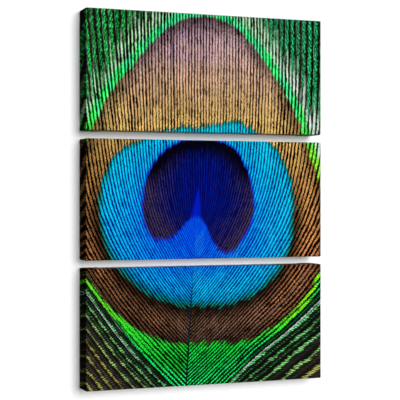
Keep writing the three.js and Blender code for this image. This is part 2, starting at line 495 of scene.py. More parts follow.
class Barbs:
    """What every ring of the feather needs to know about the barb at a point."""

    def __init__(self, tree):
        self.tree = tree
        self.x, self.z = map_of(tree, "picture")
        left, right = map_of(tree, "barbs")
        self.along, self.from_shaft = map_of(tree, "run")
        self.bronze, self.disc = map_of(tree, "rings")
        self.heart, self.streak = map_of(tree, "heart")
        self.right = self.from_shaft.over(0.0)
        place = vector(tree, self.x, self.z)
        # How many loose barbs lie between here and the last of the close ones.
        self.past = between(tree, LOOSE_BARBS[0] - left, right - LOOSE_BARBS[1], self.right)
        # Barbs waver, and those that are loose and low do so least.
        stiff = 1.0 - self.past.step(-1.0, 1.0) * (1.0 - self.z.step(150.0, 260.0)) * 0.6
        phase = between(tree, left, right + RIGHT_NUMBERS, self.right)
        drift = (noise(tree, place, 0.03, 0.0) - 0.5) * 0.3
        phase = phase + (drift + (noise(tree, place, 0.3, 1.0) - 0.5) * 0.4) * stiff
        self.phase = phase
        self.number = phase.floor()
        self.across = phase.fract()
        self.chance = chances(tree, self.number)
        self.ridge = 1.0 - abs(self.across * 2.0 - 1.0)
        # Barbules leave a barb aslant, and their speckle runs the same way.
        lean = between(tree, -1.0, 1.0, self.right)
        self.aslant = self.along + phase * lean * BARBULE_SLANT
        self.steep = self.along + phase * lean * WIDE_SLANT
        speckle = vector(tree, self.aslant * 0.34, phase * 2.3 - self.along * lean * 0.16)
        self.speckle = sharper(noise(tree, speckle, 1.0, 2.0, 0.65), 5.0)
        streaks = vector(tree, phase * 1.3, self.along * 0.06)
        self.streaks = sharper(noise(tree, streaks, 1.0, 2.0), 3.0)
        self.cloudy = sharper(noise(tree, place, 0.03, 2.0), 2.4)
        self.wander = noise(tree, place, 0.05, 1.0) * 16.0
        self.dots = self.beads(self.aslant, BEAD_PITCH)
        strokes = vector(tree, phase * 2.4 - self.along * lean * 0.12, self.along * 0.2)
        self.strokes = sharper(noise(tree, strokes, 1.0, 1.0), 5.5)
        # A zone's edge is ragged, because each barb changes colour at a place of its own.
        self.rag = (self.chance[0] - 0.5) * 3.6 + (self.across - 0.5) * 3.0
        self.rag = self.rag + (self.speckle - 0.5) * 2.0

    def line(self, middle, half, soft):
        """1 on a stripe along each barb and 0 beside it."""
        return 1.0 - abs(self.across - middle).step(half, half + soft)

    def beads(self, way, pitch):
        """1 on a row of beads along each barb and 0 between them."""
        wave = (way * (2 * math.pi / pitch) + self.chance[0] * 1.4 + self.wander).sine()
        return (wave * 0.5 + 0.5).step(0.2, 0.6)

    def laid(self, dark, light, gap, soft, broken, dotted=0.0):
        """Light barbs with dark between them.

        gap is how far up its side a barb stays dark, and soft how slowly it turns light. broken
        and dotted say how much the barbules' speckle and beads break up the light.
        """
        split = self.streaks.step(0.38, 0.0) * (0.43 * broken)
        split = split + (self.chance[2] - 0.5) * (0.4 * broken)
        body = self.ridge.step(split + gap, split + (gap + soft))
        worn = 1.0 - broken + (self.speckle * 0.6 + self.strokes * 0.4) * (broken * 1.7)
        worn = (worn * (1.0 - dotted + self.dots * dotted * 1.5)).most(0.3)
        share = body * worn * (0.65 + self.chance[1] * 0.3 + self.streaks * 0.3)
        return mixed(self.tree, dark, light, share.least(1.3))


def sharper(wire, by):
    """Spreads a soft noise around 0.5 over the whole range from 0 to 1."""
    return ((wire - 0.5) * by + 0.5).step(0.0, 1.0)


def bronze_ink(barbs):
    """The ring round the disc: brown below, bronze at its flanks, then gold and pale violet."""
    tree = barbs.tree
    light = shades(
        tree,
        barbs.z,
        [
            (60, ink(120, 88, 72)),
            (150, ink(146, 105, 80)),
            (230, ink(220, 146, 88)),
            (330, ink(240, 177, 97)),
            (410, ink(250, 208, 120)),
            (455, ink(232, 190, 134)),
            (505, ink(240, 198, 170)),
            (550, ink(236, 196, 198)),
            (597, ink(170, 136, 144)),
        ],
    )
    dark = shades(
        tree,
        barbs.z,
        [
            (60, ink(12, 6, 3)),
            (230, ink(14, 5, 1)),
            (330, ink(18, 8, 2)),
            (410, ink(36, 18, 4)),
            (500, ink(58, 32, 24)),
            (550, ink(40, 22, 26)),
            (597, ink(20, 10, 14)),
        ],
    )
    aside = abs(barbs.x - BRONZE_MIDDLE).step(40.0, 150.0)
    dark = mixed(tree, dark, ink(16, 8, 3), aside * 0.75)
    high = barbs.z.step(330.0, 430.0)
    violet = barbs.z.step(490.0, 540.0) * barbs.x.step(240.0, 190.0) * barbs.cloudy
    light = mixed(tree, light, ink(176, 140, 196), violet * 0.55)
    orange = (1.0 - high) * barbs.chance[2] * barbs.speckle
    light = mixed(tree, light, ink(248, 150, 70), orange * aside * 0.6)
    rosy = (1.0 - barbs.chance[1]) * barbs.strokes * aside * barbs.z.step(180.0, 260.0)
    light = mixed(tree, light, ink(240, 160, 136), rosy * 0.35)
    fleck = barbs.speckle.step(0.6, 1.0) * barbs.chance[0] * barbs.z.step(200.0, 280.0)
    light = mixed(tree, light, ink(246, 206, 96), fleck * (1.0 - barbs.z.step(450.0, 500.0)) * 0.7)
    tone = barbs.laid(dark, light, 0.32 - high * (0.08 - aside * 0.05), 0.3, 0.7, 0.55)
    # The left flank and both edges of the ring are in shade.
    side = (barbs.x.step(40.0, 330.0) * 0.34 + 0.72).most(high)
    outer = (barbs.bronze + barbs.rag * 2.4).step(-6.0, 38.0) * 0.72 + 0.28
    low = 1.0 - barbs.z.step(250.0, 400.0)
    inner = 1.0 - (barbs.disc + barbs.rag * 1.6).step(-32.0, -2.0) * low * 0.92
    # Two barbs of the crown have come apart.
    rift = abs(barbs.x - RIFT_FOOT + barbs.z * RIFT_LEAN + barbs.rag * 0.3)
    rift = (1.0 - rift.step(0.6, 2.6)) * barbs.z.step(420.0, 470.0) * 0.7
    shade = side * outer * inner * (0.78 + barbs.cloudy * 0.35) * (1.0 - rift)
    return mixed(tree, ink(5, 3, 2), tone, shade.least(1.0))


def disc_ink(barbs):
    """The turquoise disc: bluest under the notch, and dark green along its rim."""
    tree = barbs.tree
    dx, dz = barbs.x - DISC_MIDDLE[0], barbs.z - DISC_MIDDLE[1]
    far = (dx * dx + dz * dz).join("SQRT")
    light = shades(
        tree,
        far,
        [
            (0, ink(1, 90, 236)),
            (45, ink(1, 112, 238)),
            (85, ink(1, 140, 240)),
            (125, ink(1, 180, 244)),
            (170, ink(1, 206, 240)),
        ],
    )
    dark = shades(tree, far, [(0, ink(1, 24, 176)), (70, ink(1, 26, 140)), (170, ink(1, 24, 100))])
    low = 1.0 - barbs.z.step(150.0, 220.0)
    paler = low * far.step(20.0, 90.0) * (0.4 + barbs.right * 0.35)
    light = mixed(tree, light, ink(2, 196, 240), paler)
    dark = mixed(tree, dark, ink(1, 12, 56), low * 0.45)
    light = mixed(tree, light, ink(14, 210, 214), barbs.z.step(375.0, 412.0) * 0.75)
    tone = barbs.laid(dark, light, 0.3, 0.34, 0.4, 0.15)
    glint = barbs.speckle.step(0.6, 1.0) * barbs.cloudy.step(0.5, 0.9)
    tone = mixed(tree, tone, ink(60, 214, 250), glint * barbs.right * 0.2)
    rim = (barbs.disc + barbs.rag * 1.5).step(1.0, 9.0)
    edge = mixed(tree, ink(2, 26, 30), ink(4, 134, 110), barbs.ridge.step(0.35, 0.8))
    foot = 1.0 - barbs.z.step(170.0, 260.0)
    shade = (barbs.disc + barbs.rag * 1.4).step(28.0, -2.0) * foot
    shade = 1.0 - shade * (1.0 - barbs.right * 0.4) * 0.8
    tone = mixed(tree, ink(1, 8, 14), tone, shade)
    return mixed(tree, edge, tone, rim)


def heart_ink(barbs):
    """The dark heart: navy, brown towards its edge, black in its crown, with a blue flame."""
    tree = barbs.tree
    dx, dz = barbs.x - HEART_MIDDLE[0], barbs.z - HEART_MIDDLE[1]
    far = (dx * dx + dz * dz * 0.6).join("SQRT") + barbs.cloudy * 12.0
    light = shades(tree, far, [(0, ink(2, 20, 146)), (50, ink(4, 24, 116)), (98, ink(64, 50, 68))])
    dark = shades(tree, far, [(0, ink(1, 3, 84)), (60, ink(1, 2, 64)), (98, ink(2, 1, 50))])
    tone = barbs.laid(dark, light, 0.36, 0.4, 0.6)
    dusty = far.step(70.0, 95.0) * barbs.speckle.step(0.7, 1.0) * 0.3
    tone = mixed(tree, tone, ink(80, 62, 96), dusty)
    crown = (barbs.heart + (barbs.streaks - 0.5) * 6.0 + barbs.rag).step(36.0, 8.0)
    crown = crown * barbs.z.step(306.0, 350.0)
    tone = mixed(tree, tone, ink(2, 1, 12), crown)
    flame = barbs.streak.step(-0.1, 0.7) * (0.55 + barbs.speckle * 0.45)
    return mixed(tree, tone, ink(3, 26, 188), flame)


def green_light(barbs):
    """The colour of the barbs' bright green ends at each height."""
    tree = barbs.tree
    light = shades(
        tree,
        barbs.z,
        [
            (0, ink(20, 206, 100)),
            (60, ink(16, 230, 66)),
            (130, ink(104, 244, 12)),
            (330, ink(140, 250, 36)),
            (430, ink(30, 246, 76)),
            (500, ink(10, 240, 104)),
            (597, ink(16, 226, 124)),
        ],
    )
    yellow = barbs.speckle * barbs.z.step(90.0, 130.0) * barbs.z.step(420.0, 350.0)
    left = 1.0 - barbs.right
    leafy = left * barbs.z.step(330.0, 230.0)
    light = mixed(tree, light, ink(34, 220, 50), leafy * (0.45 + barbs.chance[1] * 0.5))
    light = mixed(tree, light, ink(6, 70, 26), left * barbs.z.step(80.0, 10.0) * 0.4)
    light = mixed(tree, light, ink(196, 244, 40), yellow * (0.45 - leafy * 0.25))
    cyan = barbs.chance[2].step(0.45, 0.9) * barbs.z.step(380.0, 450.0)
    return mixed(tree, light, ink(50, 244, 190), cyan * 0.6)


def fringe_ink(barbs):
    """The bright green ends of the barbs just outside the bronze."""
    tree = barbs.tree
    dark = shades(tree, barbs.z, [(0, ink(2, 14, 5)), (300, ink(6, 40, 4)), (597, ink(2, 26, 12))])
    dotted = 0.4 - barbs.z.step(60.0, 100.0) * 0.15
    gap = 0.4 - barbs.z.step(40.0, 90.0) * (0.14 + barbs.z.step(330.0, 230.0) * 0.16)
    tone = barbs.laid(dark, green_light(barbs), gap, 0.34, 0.6, dotted)
    core = barbs.line(0.5, 0.04, 0.16) * barbs.z.step(380.0, 430.0) * barbs.streaks
    return mixed(tree, tone, ink(150, 255, 190), core * 0.6)


def upper_ink(barbs):
    """Barbs above the eye: pale near its fringe, and green strokes on dark further out."""
    tree = barbs.tree
    out = -barbs.bronze
    # Near the eye each barb is a row of quills, which end at a distance of their own.
    reach = out + (barbs.chance[0] - 0.5) * 26.0 + (barbs.cloudy - 0.5) * 16.0
    reach = reach + (1.0 - barbs.z.step(450.0, 560.0)) * barbs.z.step(420.0, 450.0) * 10.0
    near = 1.0 - reach.step(26.0, 56.0)
    gap = mixed(tree, ink(30, 14, 25), ink(2, 8, 3), barbs.chance[2].step(0.4, 0.6))
    mauve = barbs.x.step(150.0, 300.0) * (1.0 - barbs.z.step(480.0, 560.0) * 0.6)
    mint = mixed(tree, ink(120, 220, 128), ink(218, 236, 222), mauve.most(barbs.chance[1] * 0.5))
    dull = mixed(tree, ink(20, 120, 52), ink(132, 170, 100), barbs.strokes)
    faded = out.step(20.0, 60.0) * 0.6 + barbs.chance[0].step(0.6, 0.9) * 0.4
    ripe = mixed(tree, mint, dull, faded)
    ripe = mixed(tree, green_light(barbs), ripe, (out + barbs.rag).step(8.0, 22.0))
    quills = barbs.laid(gap, ripe, 0.4 - barbs.right * 0.12, 0.36, 0.7, 0.3)
    shine = barbs.line(0.5, 0.04, 0.12) * barbs.streaks * out.step(4.0, 12.0)
    quills = mixed(tree, quills, ink(236, 250, 236), shine * 0.6)
    # Further out the barbs are wider and darker.
    wide = (barbs.phase * (1.0 / WIDE_BARBS)).floor()
    across = (barbs.phase * (1.0 / WIDE_BARBS)).fract()
    luck = chances(tree, wide + 0.5)
    gap = mixed(tree, ink(28, 18, 20), ink(2, 8, 2), luck[2].step(0.3, 0.7))
    emerald = mixed(tree, ink(6, 222, 80), ink(4, 226, 134), barbs.right)
    dashes = barbs.beads(barbs.steep, WIDE_BEAD_PITCH) * 0.85 + 0.15
    dashes = dashes * (0.3 + barbs.speckle * 1.1)
    green = mixed(tree, ink(2, 24, 9), emerald, dashes.least(1.0))
    green = mixed(tree, green, ink(110, 240, 170), barbs.speckle.step(0.8, 1.0) * dashes * 0.5)
    frayed = (barbs.strokes - 0.5) * 0.2
    band = 1.0 - abs(across + frayed - 0.6).step(0.1, 0.3)
    band = band * (0.55 + luck[0] * 0.5) * (0.6 + barbs.streaks * 0.6)
    loose = mixed(tree, gap, green, band.least(1.0))
    quill = 1.0 - abs(across + frayed * 0.2 - 0.28).step(0.02, 0.08)
    quill = quill * barbs.streaks * (0.05 + luck[1] * 0.6)
    loose = mixed(tree, loose, ink(130, 230, 170), quill)
    return mixed(tree, loose, quills, near)


def lower_ink(barbs):
    """Barbs below the eye, close beside the shaft and loose in the corners."""
    tree = barbs.tree
    loose = barbs.past.step(-0.2, 0.0)
    aside = abs(barbs.from_shaft).step(70.0, 120.0)
    close = barbs.laid(ink(2, 10, 4), ink(28, 244, 108), 0.46, 0.32, 0.5, 0.6)
    close = mixed(tree, close, ink(4, 9, 5), barbs.past.step(-1.5, -0.9) * aside * 0.9)
    first = 1.0 - barbs.past.step(0.92, 1.0)
    far = barbs.past.step(1.0, 5.5)
    gap = mixed(tree, ink(10, 12, 8), ink(34, 22, 20), far * (0.3 + barbs.cloudy * 0.7))
    leaf = mixed(tree, ink(56, 96, 76), ink(104, 86, 100), far)
    patches = barbs.streaks.step(0.2, 0.8)
    hatch = barbs.line(0.66, 0.1, 0.2) * barbs.dots * (1.0 - barbs.right * 0.55)
    tone = mixed(tree, gap, leaf, hatch * (0.02 + barbs.chance[1] * 0.2 + patches * 0.2))
    olive = mixed(tree, ink(60, 170, 84), ink(120, 128, 60), far)
    dim = barbs.line(0.8, 0.02, 0.07) * barbs.dots * barbs.chance[0] * barbs.speckle
    tone = mixed(tree, tone, olive, dim * 0.8)
    ripe = (far + barbs.chance[2] * 0.4).least(1.0)
    lime = mixed(tree, ink(110, 236, 140), ink(176, 186, 88), ripe)
    row = barbs.line(0.34, barbs.speckle * (0.04 + patches * 0.13), 0.08)
    row = row * (0.2 + barbs.dots * 0.8)
    row = row * (0.2 + patches * 0.5 + barbs.chance[1] * 0.4)
    tone = mixed(tree, tone, lime, row.least(1.0))
    pale = barbs.line(0.16, 0.01, 0.06) * first * aside * (0.4 + barbs.streaks * 0.6)
    tone = mixed(tree, tone, ink(216, 210, 226), pale)
    return mixed(tree, close, tone, loose)


def feather_ink(tree):
    """The whole picture, from the outermost barbs in to the heart, and the shaft over them."""
    barbs = Barbs(tree)
    low_right = barbs.right * (1.0 - barbs.z.step(120.0, 200.0))
    out = -(barbs.bronze + barbs.rag * (1.0 + low_right * 0.8 + barbs.z.step(110.0, 70.0)))
    # The green fringe is widest at the shaft.
    beside = 1.0 - abs(barbs.from_shaft).step(20.0, 130.0)
    reach = 6.0 + 6.5 * barbs.z.step(300.0, 420.0) + barbs.chance[1] * 6.0
    reach = reach + 45.0 * beside * (1.0 - barbs.z.step(90.0, 140.0))
    reach = reach + 3.0 * low_right
    outside = mixed(tree, lower_ink(barbs), upper_ink(barbs), barbs.z.step(200.0, 300.0))
    ragged = 1.0 + barbs.z.step(370.0, 410.0) * 1.2 + barbs.z.step(150.0, 115.0) * 1.6
    tone = mixed(tree, fringe_ink(barbs), outside, out.step(reach * 0.7, reach))
    tone = mixed(tree, bronze_ink(barbs), tone, out.step(-0.8, 0.8))
    tone = mixed(tree, tone, disc_ink(barbs), (barbs.disc + barbs.rag * ragged).step(-1.5, 1.5))
    heart = barbs.heart + barbs.rag * (1.5 - barbs.z.step(220.0, 280.0) * 0.7)
    tone = mixed(tree, tone, ink(4, 28, 196), heart.step(-4.2, -1.2) * 0.8)
    tone = mixed(tree, tone, heart_ink(barbs), heart.step(-0.8, 0.8))
    shaft = 1.0 - abs(barbs.from_shaft).step(0.8, 1.9)
    shaft = shaft * (1.0 - barbs.z.step(120.0, 175.0) * 0.75) * (1.0 - barbs.z.step(200.0, 250.0))
    return mixed(tree, tone, ink(8, 24, 34), shaft)


def place_in_object(tree):
    """Object coordinates in millimetres."""
    node = tree.nodes.new("ShaderNodeTexCoord")
    return [wire * (1 / MM) for wire in parts(tree, Wire(node.outputs["Object"]))]


def bump(tree, shader, height, depth, strength=1.0):
    """Gives a shader's surface relief: height from 0 to 1 over a depth in metres."""
    node = tree.nodes.new("ShaderNodeBump")
    node.inputs["Strength"].default_value = strength
    node.inputs["Distance"].default_value = depth
    feed(node.inputs["Height"], height)
    feed(shader.inputs["Normal"], Wire(node.outputs[0]))


def weave(tree, pitch):
    """Height of a plain weave from 0 to 1, whichever way the cloth faces."""
    x, y, z = place_in_object(tree)
    facing = Wire(tree.nodes.new("ShaderNodeNewGeometry").outputs["True Normal"])
    sideways, _, upwards = (abs(part) for part in parts(tree, facing))
    wobble = (noise(tree, vector(tree, x, y, z), 0.25, 2.0) - 0.5) * 0.5
    weft = (between(tree, x, y, sideways.over(0.5)) + wobble) / pitch
    warp = (between(tree, z, y, upwards.over(0.5)) + wobble) / pitch
    over = abs((weft * math.pi).sine())
    under = abs((warp * math.pi).sine())
    turn = ((weft.floor() + warp.floor()) * 0.5).fract() * 2.0
    return between(tree, over, under, turn)


def printed_canvas(cloth):
    """The cloth's outer face: printed, and bare primer over most of the hem."""
    made, tree, shader = blank_material("printed_canvas")
    threads = weave(tree, cloth.threads / MM)
    past, _ = map_of(tree, "cloth")
    x, y, z = place_in_object(tree)
    ragged = past + (noise(tree, vector(tree, x, y, z), 0.6, 2.0) - 0.5) * 1.2
    print_end = (CANVAS_BOXES[0][1][1] - CANVAS_BOXES[0][0][1] + cloth.print_turnover) / MM
    bare = ragged.step(print_end, print_end + 0.6)
    # The primer turns darker down between the threads: painted shade.
    primer = mixed(tree, ink(214, 211, 202), ink(240, 238, 232), threads)
    tone = mixed(tree, feather_ink(tree), primer, bare)
    # Black mixed into the hollows of the weave, over print and primer alike: painted shade.
    weave_hollow_shade = threads.step(0.35, 0.0) * 0.12
    feed(shader.inputs["Base Color"], mixed(tree, tone, ink(0, 0, 0), weave_hollow_shade))
    feed(shader.inputs["Roughness"], threads * 0.1 + 0.62)
    shader.inputs["Specular IOR Level"].default_value = 0.008
    bump(tree, shader, threads, 0.1 * MM, 0.5)
    return made


def raw_canvas(cloth):
    """The cloth's back: unbleached, with slubs and flecks of seed."""
    made, tree, shader = blank_material("raw_canvas")
    threads = weave(tree, cloth.threads / MM)
    x, y, z = place_in_object(tree)
    slubs = noise(tree, vector(tree, x * 0.2, y, z * 2.2), 0.6, 3.0)
    flecks = noise(tree, vector(tree, x * 1.1, y, z * 1.1), 1.0, 3.0, 0.7).step(0.66, 0.76)
    # Paler on thick slubs of yarn, which is the cloth's own tone, and on the tops of the threads;
    # the darker hollows between the threads are painted shade.
    pale = (threads * 0.6 + slubs * 0.5).least(1.0)
    tone = mixed(tree, ink(206, 194, 168), ink(236, 228, 208), pale)
    feed(shader.inputs["Base Color"], mixed(tree, tone, ink(150, 128, 92), flecks * 0.5))
    feed(shader.inputs["Roughness"], slubs * 0.15 + 0.8)
    bump(tree, shader, threads + slubs * 0.4, 0.14 * MM, 0.8)
    return made


# ---- Wood, steel and rubber ----


def pine(name, wood, upright):
    """Planed softwood whose grain runs along the bar."""
    made, tree, shader = blank_material(name)
    x, y, z = place_in_object(tree)
    along, across = (z, x) if upright else (x, z)
    place = vector(tree, along * 0.012, across * 0.16, y * 0.16)
    drift = noise(tree, place, 1.0, 3.0, 0.5)
    # Rings are the rings of a log whose middle lies below the bar, seen where the plane cuts them.
    rings = ((across * 0.2 + y * 0.34 + drift * 9.0) * 0.7).fract()
    late = rings.step(0.45, 0.92) * (1.0 - rings.step(0.93, 1.0))
    fibre = noise(tree, vector(tree, along * 0.05, across * 3.2, y * 3.2), 1.0, 3.0, 0.6)
    pores = sharper(noise(tree, vector(tree, along * 0.16, across * 6.0, y * 6.0), 1.0, 2.0), 3.0)
    knots = tree.nodes.new("ShaderNodeTexVoronoi")
    knots.inputs["Scale"].default_value = 1.0
    feed(knots.inputs["Vector"], vector(tree, along * 0.011, across * 0.03 + 0.4, y * 0.03))
    knot = 1.0 - Wire(knots.outputs["Distance"]).step(0.05, 0.13)
    tone = mixed(tree, (*wood.pale, 1.0), (*wood.dark, 1.0), late * 0.55 + (fibre - 0.5) * 0.5)
    tone = mixed(tree, tone, ink(250, 226, 178), drift.step(0.5, 0.9) * 0.35)
    tone = mixed(tree, tone, ink(112, 66, 32), (knot * (fibre * 0.6 + 0.5)).least(0.9))
    tone = mixed(tree, tone, ink(164, 120, 72), pores.step(0.75, 1.0) * 0.3)
    feed(shader.inputs["Base Color"], tone)
    feed(shader.inputs["Roughness"], 0.74 - late * 0.12 + (fibre - 0.5) * 0.2)
    shader.inputs["Specular IOR Level"].default_value = 0.35
    bump(tree, shader, fibre * 0.7 + late * 0.3 + pores * 0.2, 0.12 * MM, 0.6)
    return made


def steel(name, tone, worn, rough, along):
    """Bright metal with fine drawn lines, cloudy plating and a few dull spots."""
    made, tree, shader = blank_material(name)
    x, y, z = place_in_object(tree)
    stretched = vector(tree, *(wire * amount for wire, amount in zip((x, y, z), along)))
    lines = noise(tree, stretched, 1.0, 3.0, 0.6)
    place = vector(tree, x, y, z)
    clouds = sharper(noise(tree, place, 0.35, 3.0, 0.6), 2.0)
    spots = noise(tree, place, 1.6, 2.0, 0.7).step(0.62, 0.72)
    mottled = mixed(tree, tone, worn, (clouds * 0.5 + (lines - 0.5) * 0.6).most(0.0))
    feed(shader.inputs["Base Color"], mixed(tree, mottled, ink(120, 116, 108), spots * 0.45))
    feed(shader.inputs["Roughness"], lines * 0.2 + clouds * 0.12 + spots * 0.2 + rough)
    shader.inputs["Metallic"].default_value = 1.0
    bump(tree, shader, lines, 0.03 * MM, 0.5)
    return made


def rubber():
    """Black rubber with a fine grain and some dust."""
    made, tree, shader = blank_material("bumper_rubber")
    x, y, z = place_in_object(tree)
    place = vector(tree, x, y, z)
    grain = noise(tree, place, 3.0, 3.0, 0.6)
    dust = sharper(noise(tree, place, 0.5, 3.0, 0.7), 2.0)
    feed(shader.inputs["Base Color"], mixed(tree, ink(32, 32, 34), ink(66, 64, 62), dust * grain))
    feed(shader.inputs["Roughness"], dust * 0.2 + 0.62)
    shader.inputs["Specular IOR Level"].default_value = 0.4
    bump(tree, shader, grain, 0.08 * MM, 0.5)
    return made


def finish_nodes(parts_of_panels, material):
    """Gives the same finish to the named parts of every panel."""
    for panel in PANELS:
        for part in parts_of_panels:
            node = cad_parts[f"{panel}_{part}"]
            node.data.materials.clear()
            node.data.materials.append(material)


# ---- Canvas ----

TURN = np.array([0.0, 0.13, 0.32, 0.6, 1.0])  # points where the cloth turns, in radii
HEM_POINTS = 10
FOLD_SLANT = 0.86  # how far a corner's pleat runs along for each step back
FOLD_SOFTNESS = 1.2 * MM
FOLD_END = 3 * MM  # over which a pleat dies out at its ends
ON_EDGE = 0.1 * MM  # how near a point is to the top or bottom side to lie on it


def spaced(low, high, step, radius):
    """Places from low to high, close together where the cloth turns at each end."""
    turn = radius * TURN
    count = max(2, int(round((high - low - 2 * radius) / step)) + 1)
    flat = np.linspace(low + radius, high - radius, count)
    return np.concatenate([low + turn[:-1], flat, (high - turn[:-1])[::-1]])


def finer_ends(places, reach):
    """Halves the steps near both ends, where the cloth is folded."""
    middles = (places[1:] + places[:-1]) / 2
    near = np.minimum(middles - places[0], places[-1] - middles) < reach
    wide = np.diff(places) > 1 * MM
    return np.sort(np.concatenate([places, middles[near & wide]]))


class CanvasMesh:
    """The outside of one wrapped canvas, as grids that meet at the bars' edges."""

    def __init__(self, low, high, cloth):
        self.low, self.high = np.array(low), np.array(high)
        self.cloth = cloth
        self.points, self.flat, self.faces = [], [], []

    def grid(self, across, up, place):
        """Adds a grid; place gives each point's position and its place on the flat cloth."""
        first = sum(len(p) for p in self.points)
        a, b = np.meshgrid(across, up)
        position, flat = place(a.ravel(), b.ravel())
        self.points.append(position)
        self.flat.append(flat)
        n, m = len(across), len(up)
        i = np.arange(m - 1)[:, None] * n + np.arange(n - 1)[None, :]
        quads = np.stack([i, i + 1, i + n + 1, i + n], -1).reshape(-1, 4) + first
        self.faces.append(quads)

    def rounded(self, p):
        """Draws the box's edges in to the cloth's radius."""
        r = self.cloth.edge_radius
        core = np.clip(p, self.low + r, self.high - r)
        away = p - core
        size = np.linalg.norm(away, axis=1, keepdims=True)
        turned = core + away / np.maximum(size, 1e-12) * r
        return np.where(size > r * 0.999, turned, p)


def wrapped(low, high, cloth):
    """One canvas as grids: its front, its four sides, and the hem on its back."""
    mesh = CanvasMesh(low, high, cloth)
    (x0, y0, z0), (x1, y1, z1) = low, high
    step, r, hem = cloth.mesh_step, cloth.edge_radius, cloth.hem
    xs, zs, ys = (spaced(a, b, step, r) for a, b in ((x0, x1), (z0, z1), (y0, y1)))
    xs = finer_ends(xs, y1 - y0)
    hem_in = np.concatenate([r * TURN[:-1], np.linspace(r, hem, HEM_POINTS)])
    same, k = np.zeros_like, cloth.edge_stretch
    depth = y1 - y0

    def front(a, b):
        return np.stack([a, same(a) + y0, b], 1), np.stack([a, b, same(a)], 1)

    mesh.grid(xs, zs, front)

    # The left and right side, then the bottom and top one.
    for sign, edge in ((1, x0), (-1, x1)):

        def upright_side(a, b, sign=sign, edge=edge):
            position = np.stack([same(a) + edge, a, b], 1)
            return position, np.stack([edge + sign * (a - y0) * k, b, a - y0], 1)

        mesh.grid(ys[::-1] if sign > 0 else ys, zs, upright_side)
    for sign, edge in ((1, z0), (-1, z1)):

        def level_side(a, b, sign=sign, edge=edge):
            position = np.stack([a, b, same(a) + edge], 1)
            return position, np.stack([a, edge + sign * (b - y0) * k, b - y0], 1)

        mesh.grid(xs, ys[::-1] if sign > 0 else ys, level_side)
    # The hem: two long strips, and two short ones between them.
    for sign, edge in ((1, z0), (-1, z1)):

        def long_hem(a, b, sign=sign, edge=edge):
            position = np.stack([a, same(a) + y1, edge + sign * b], 1)
            return position, np.stack([a, edge + sign * (depth + b) * k, depth + b], 1)

        mesh.grid(xs[::-1] if sign > 0 else xs, hem_in, long_hem)
    inner = zs[(zs > z0 + hem) & (zs < z1 - hem)]
    inner = np.concatenate([[z0 + hem], inner, [z1 - hem]])
    for sign, edge in ((1, x0), (-1, x1)):

        def short_hem(a, b, sign=sign, edge=edge):
            position = np.stack([edge + sign * a, same(a) + y1, b], 1)
            return position, np.stack([edge + sign * (depth + a) * k, b, depth + a], 1)

        mesh.grid(hem_in[::-1] if sign > 0 else hem_in, inner, short_hem)
    return mesh


def make_canvas(name, low, high, cloth, materials):
    """One panel's cloth, wrapped, folded at its corners and given its thickness."""
    mesh = wrapped(low, high, cloth)
    points = mesh.rounded(np.concatenate(mesh.points))
    points = pleated(points, low, high, cloth)
    flat = np.concatenate(mesh.flat)
    faces = np.concatenate(mesh.faces)
    data = bpy.data.meshes.new(name)
    data.from_pydata(points.tolist(), [], faces.tolist())
    write_maps(data, flat[faces.ravel()])
    made = bpy.data.objects.new(name, data)
    bpy.context.scene.collection.objects.link(made)
    weld(made)
    for material in materials:
        made.data.materials.append(material)
    for polygon in made.data.polygons:
        polygon.use_smooth = True
    solid = made.modifiers.new("thickness", "SOLIDIFY")
    solid.thickness = cloth.thickness
    solid.offset = -1
    solid.material_offset = 1
    solid.material_offset_rim = 1
    plain(made)
    return made


def pleated(points, low, high, cloth):
    """Lifts the cloth that is folded over at the ends of the top and bottom sides."""
    x, y, z = points.T
    from_end = np.minimum(x - low[0], high[0] - x)
    from_front = y - low[1]
    fold = np.clip((from_front * FOLD_SLANT - from_end) / FOLD_SOFTNESS, 0, 1)
    level = (z < low[2] + ON_EDGE) | (z > high[2] - ON_EDGE)
    edges = np.clip(np.minimum(from_end, high[1] - y) / FOLD_END - 0.5, 0, 1)
    lift = cloth.pleat * fold * edges * level
    outward = np.where(z > (low[2] + high[2]) / 2, 1, -1)
    return np.stack([x, y, z + outward * lift], 1)


def write_maps(data, flat):
    """UV maps that hold each face corner's place in the picture and what the feather does there."""
    x = (flat[:, 0] - PICTURE_LOW[0]) / MM
    z = (flat[:, 1] - PICTURE_LOW[1]) / MM
    rows = np.arange(0.0, math.ceil(PICTURE_HEIGHT) + 1.0)
    columns = np.arange(0.0, math.ceil(PICTURE_WIDTH) + 1.0)
    left, right = (looked_up(t, rows, columns, x, z) for t in barb_tables(rows, columns))
    maps = {
        "picture": (x, z),
        "barbs": (left, right),
        "run": (run_along(z), x - shaft_x(z)),
        "rings": (ring_depth(x, z, *BRONZE_RING), ring_depth(x, z, *DISC_RING)),
        "heart": (heart_depth(x, z), streak_depth(x, z)),
        "cloth": (flat[:, 2] / MM, flat[:, 2] / MM),
    }
    for name, values in maps.items():
        layer = data.uv_layers.new(name=name)
        layer.uv.foreach_set("vector", np.stack(values, 1).astype(np.float32).ravel())


def weld(made):
    """Joins the points that lie together."""
    modifier = made.modifiers.new("weld", "WELD")
    modifier.merge_threshold = 1e-5
    plain(made)


def plain(made):
    """Turns an object's modifiers into plain mesh."""
    graph = bpy.context.evaluated_depsgraph_get()
    finished = bpy.data.meshes.new_from_object(
        made.evaluated_get(graph), preserve_all_data_layers=True, depsgraph=graph
    )
    old = made.data
    made.modifiers.clear()
    made.data = finished
    name = old.name
    bpy.data.meshes.remove(old)
    finished.name = name


class CANVAS_OT_wrap(bpy.types.Operator):
    """Wraps each panel in its printed canvas"""

    bl_idname = "canvas_print.wrap"
    bl_label = "Canvases"

    def execute(self, context):
        cloth = context.scene.canvas_print.cloth
        materials = [printed_canvas(cloth), raw_canvas(cloth)]
        for panel, (low, high) in zip(PANELS, CANVAS_BOXES):
            node = f"{panel}_canvas"
            made = make_canvas(f"{panel}_print", tuple(low), tuple(high), cloth, materials)
            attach(made, "root")
            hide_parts(node)
        return {"FINISHED"}


